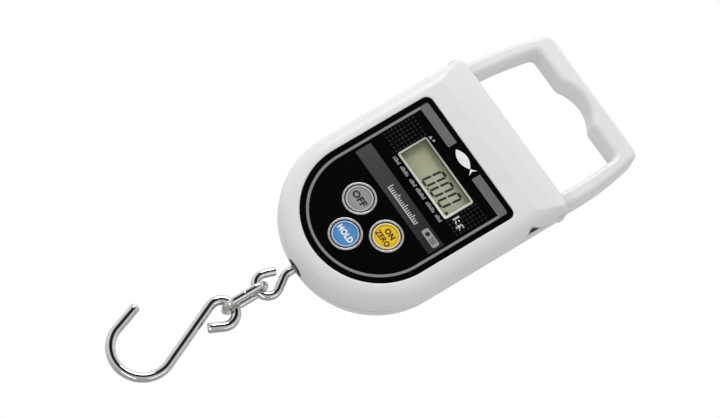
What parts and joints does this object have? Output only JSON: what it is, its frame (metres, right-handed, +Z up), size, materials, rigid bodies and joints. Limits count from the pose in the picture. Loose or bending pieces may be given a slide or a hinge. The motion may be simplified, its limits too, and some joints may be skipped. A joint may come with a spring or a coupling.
{
  "type": "hanging hand scale",
  "caption": "Battery-powered hanging scale: a housing with a display and keys, a tilting carrying handle, and a swivelling steel load hook on a chain link.",
  "frame": {"origin": "middle of the grip's underside, at the top of the finger scoop in the handle", "axes": "+Z up from the load hook to the handle, the display faces -Y, +X to the right as the display is read"},
  "size_m": [0.0772, 0.0249, 0.2255],
  "materials": {
    "housing_white": "satin moulded ABS, faintly warm white",
    "handle_white": "satin moulded ABS, a shade greyer than the housing",
    "bush_white": "plain acetal",
    "cap_black": "fine moulded black",
    "seal_rubber": "matt black rubber",
    "bright_steel": "polished bent steel wire with faint drawing lines",
    "plain_steel": "turned and pressed steel, zinc plated",
    "label_black": "printed film, gloss black with grey bands",
    "bezel_grey": "silvery grey moulding",
    "window_clear": "clear cast window",
    "lcd_glass": "liquid crystal glass on a grey-green reflector",
    "strip_rubber": "striped conducting rubber",
    "ring_silver": "plated plastic",
    "key_grey": "printed satin key top",
    "key_blue": "printed satin key top",
    "key_yellow": "printed satin key top",
    "plunger_black": "plain moulded",
    "switch_black": "plain moulded",
    "board_green": "solder mask over copper tracks",
    "chip_black": "moulded epoxy",
    "bare_aluminium": "milled",
    "gauge_amber": "amber film with a foil grid",
    "socket_white": "plain moulded",
    "battery_sleeve": "printed sleeve, plain metal ends",
    "contact_nickel": "nickel-plated spring strip",
    "lead_red": "soft insulation",
    "cable_grey": "soft insulation"
  },
  "bodies": {
    "handle": {"handle": "handle_white", "pivot_bushes": "bush_white", "pivot_caps": "cap_black"},
    "housing": {"handle_axle": "plain_steel", "front_cover": "housing_white", "rear_cover": "housing_white", "cover_screws": "plain_steel", "rod_seal": "seal_rubber", "front_label": "label_black", "display_bezel": "bezel_grey", "display_window": "window_clear", "display_glass": "lcd_glass", "contact_strips": "strip_rubber", "button_rings": "ring_silver", "main_board": "board_green", "board_screws": "plain_steel", "tact_switches": "switch_black", "board_chips": "chip_black", "board_capacitors": "bare_aluminium", "buzzer": "chip_black", "sensor_socket": "socket_white", "load_cell": "bare_aluminium", "strain_gauges": "gauge_amber", "load_bracket": "plain_steel", "cell_screws": "plain_steel", "battery_upper": "battery_sleeve", "battery_lower": "battery_sleeve", "battery_contacts": "contact_nickel", "battery_leads": "lead_red", "sensor_cable": "cable_grey"},
    "battery_door": {"battery_door": "housing_white"},
    "off_button": {"off_button": "key_grey", "off_plunger": "plunger_black"},
    "hold_button": {"hold_button": "key_blue", "hold_plunger": "plunger_black"},
    "on_button": {"on_button": "key_yellow", "on_plunger": "plunger_black"},
    "eye_rod": {"eye_rod": "bright_steel", "swivel_washer": "plain_steel", "swivel_nut": "plain_steel"},
    "chain_link": {"chain_link": "bright_steel"},
    "load_hook": {"load_hook": "bright_steel"}
  },
  "joints": [
    {"name": "handle_pivot", "type": "hinge", "parent": "handle", "child": "housing", "pos_m": [0, -0.00809, -0.04589], "axis": [1, 0, 0], "range_deg": [-10, 80]},
    {"name": "battery_door_slide", "type": "slide", "parent": "housing", "child": "battery_door", "axis": [0, 1, 0], "range_m": [0, 0.012]},
    {"name": "off_press", "type": "slide", "parent": "housing", "child": "off_button", "axis": [0, 1, 0], "range_m": [0, 0.0004], "stiffness_N_per_m": 2500},
    {"name": "hold_press", "type": "slide", "parent": "housing", "child": "hold_button", "axis": [0, 1, 0], "range_m": [0, 0.0004], "stiffness_N_per_m": 2500},
    {"name": "on_press", "type": "slide", "parent": "housing", "child": "on_button", "axis": [0, 1, 0], "range_m": [0, 0.0004], "stiffness_N_per_m": 2500},
    {"name": "eye_swivel", "type": "hinge", "parent": "housing", "child": "eye_rod", "pos_m": [0, -0.00809, -0.1325], "axis": [0, 0, 1], "continuous": true},
    {"name": "link_swing", "type": "hinge", "parent": "eye_rod", "child": "chain_link", "pos_m": [0, -0.00809, -0.15559], "axis": [1, 0, 0], "range_deg": [-75, 75]},
    {"name": "hook_swing", "type": "hinge", "parent": "chain_link", "child": "load_hook", "pos_m": [0, -0.00809, -0.17049], "axis": [0, 1, 0], "range_deg": [-75, 75]}
  ]
}
